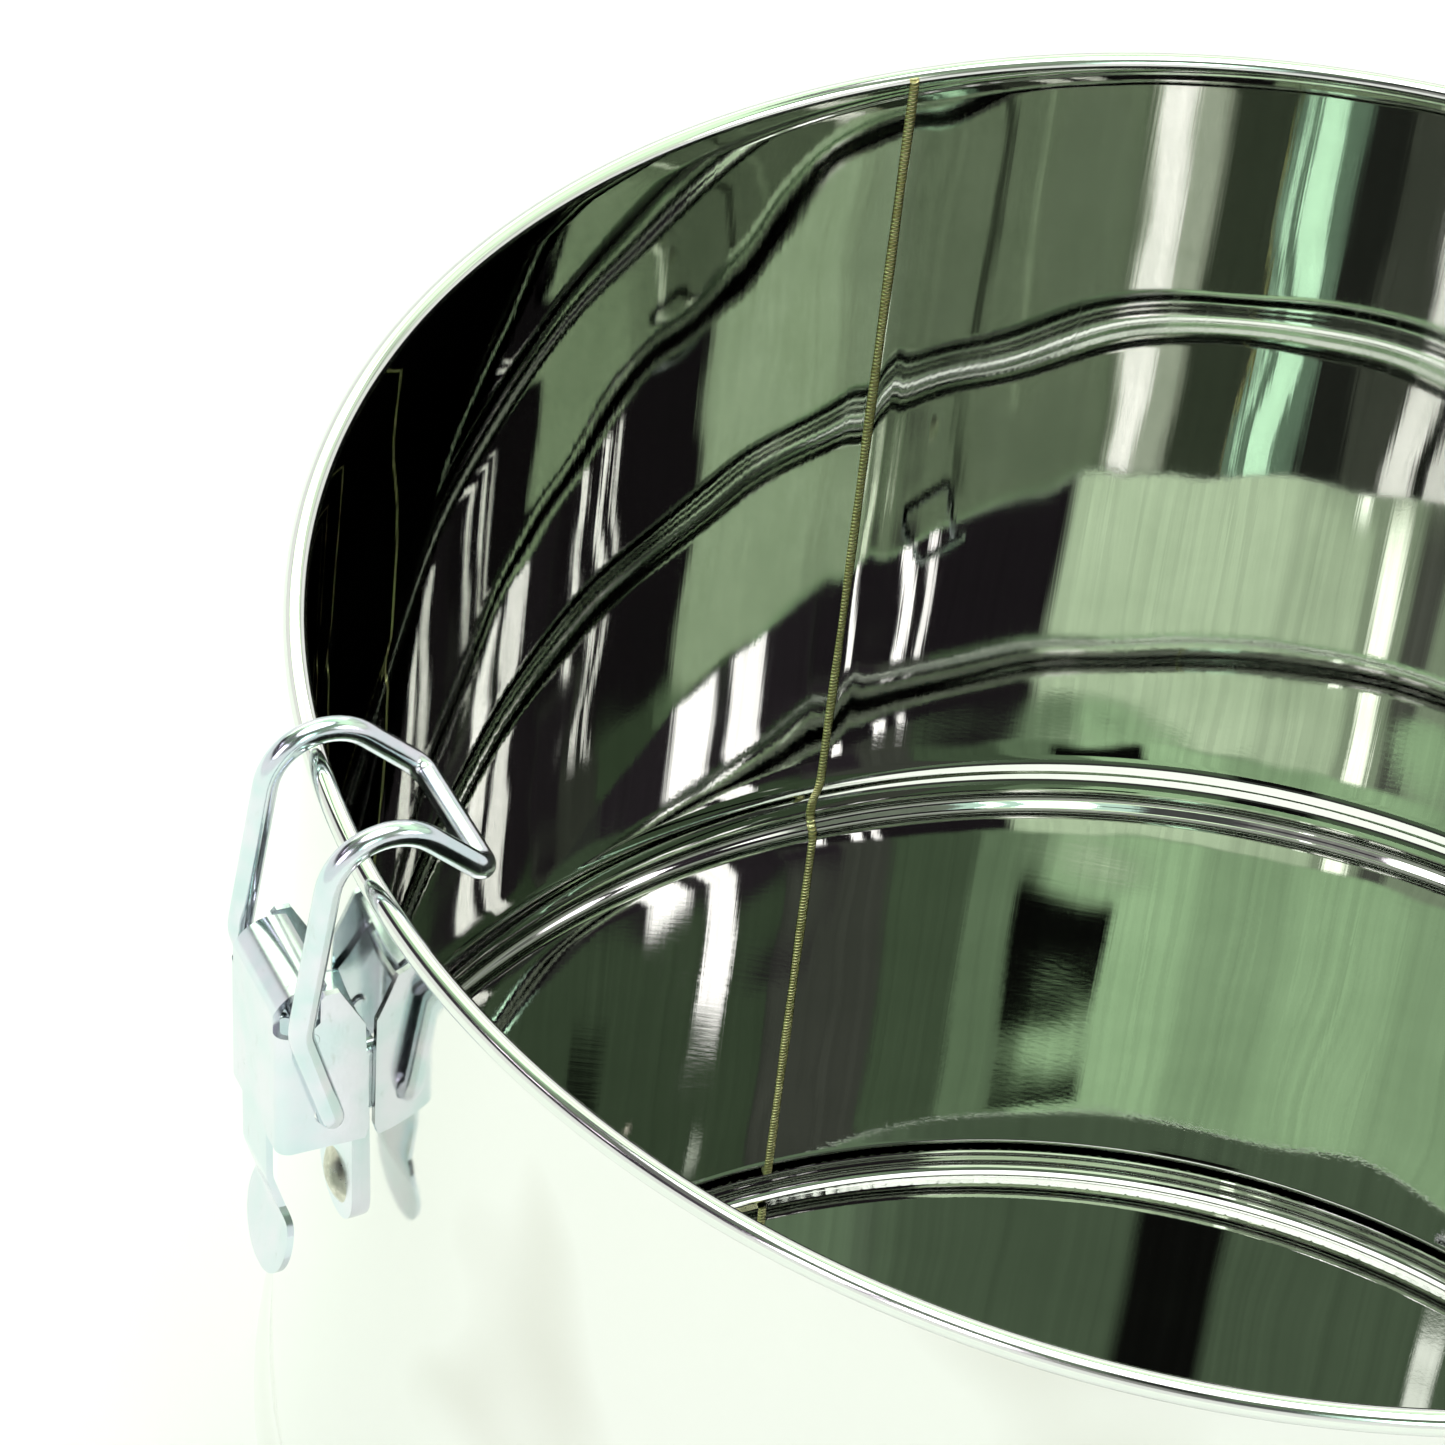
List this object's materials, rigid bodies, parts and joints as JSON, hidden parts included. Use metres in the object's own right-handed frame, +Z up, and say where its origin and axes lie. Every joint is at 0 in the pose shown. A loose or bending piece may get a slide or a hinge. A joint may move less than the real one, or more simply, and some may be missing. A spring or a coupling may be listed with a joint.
{
  "type": "open drum with rim latches",
  "caption": "Open cylindrical stainless steel drum with a rolled rim, a raised ring round the wall, a welded seam and over-centre wire latches that hook over the rim.",
  "frame": {"origin": "centre of the flat underside that the drum stands on", "axes": "+Z up through the open mouth, X through the two latches, +Y towards the wall's weld seam"},
  "size_m": [0.3472, 0.3238, 0.298],
  "materials": {
    "stainless": "mirror polished inside, softly brushed outside",
    "weld": "straw-tinted weld bead",
    "zinc_sheet": "bright zinc plate",
    "zinc_wire": "bright zinc-plated wire",
    "rivet_steel": "dull nickel"
  },
  "bodies": {
    "drum": {"shell": "stainless", "rim_wire": "stainless", "bottom": "stainless", "bottom_weld": "weld", "seam_weld": "weld", "latch_a_base_plate": "zinc_sheet", "latch_a_rivets": "rivet_steel", "latch_a_hinge_pin": "zinc_wire", "latch_b_base_plate": "zinc_sheet", "latch_b_rivets": "rivet_steel", "latch_b_hinge_pin": "zinc_wire"},
    "latch_a_lever": {"latch_a_lever": "zinc_sheet"},
    "latch_a_bail": {"latch_a_bail": "zinc_wire"},
    "latch_b_lever": {"latch_b_lever": "zinc_sheet"},
    "latch_b_bail": {"latch_b_bail": "zinc_wire"}
  },
  "joints": [
    {"name": "latch_a_lever_hinge", "type": "hinge", "parent": "drum", "child": "latch_a_lever", "pos_m": [-0.1683, 0.0042, 0.25727], "axis": [0, 0.9938, -0.1115], "range_deg": [0, 120]},
    {"name": "latch_a_bail_hinge", "type": "hinge", "parent": "latch_a_lever", "child": "latch_a_bail", "pos_m": [-0.1656, 0.00257, 0.24276], "axis": [0, 0.9938, -0.1115], "range_deg": [-96, 0]},
    {"name": "latch_b_lever_hinge", "type": "hinge", "parent": "drum", "child": "latch_b_lever", "pos_m": [0.1683, -0.0042, 0.25727], "axis": [0, -0.9938, -0.1115], "range_deg": [0, 120]},
    {"name": "latch_b_bail_hinge", "type": "hinge", "parent": "latch_b_lever", "child": "latch_b_bail", "pos_m": [0.1656, -0.00257, 0.24276], "axis": [0, -0.9938, -0.1115], "range_deg": [-96, 0]}
  ],
  "couplings": [
    {"joint": "latch_a_bail_hinge", "follows": "latch_a_lever_hinge", "ratio": -0.8},
    {"joint": "latch_b_bail_hinge", "follows": "latch_b_lever_hinge", "ratio": -0.8}
  ]
}
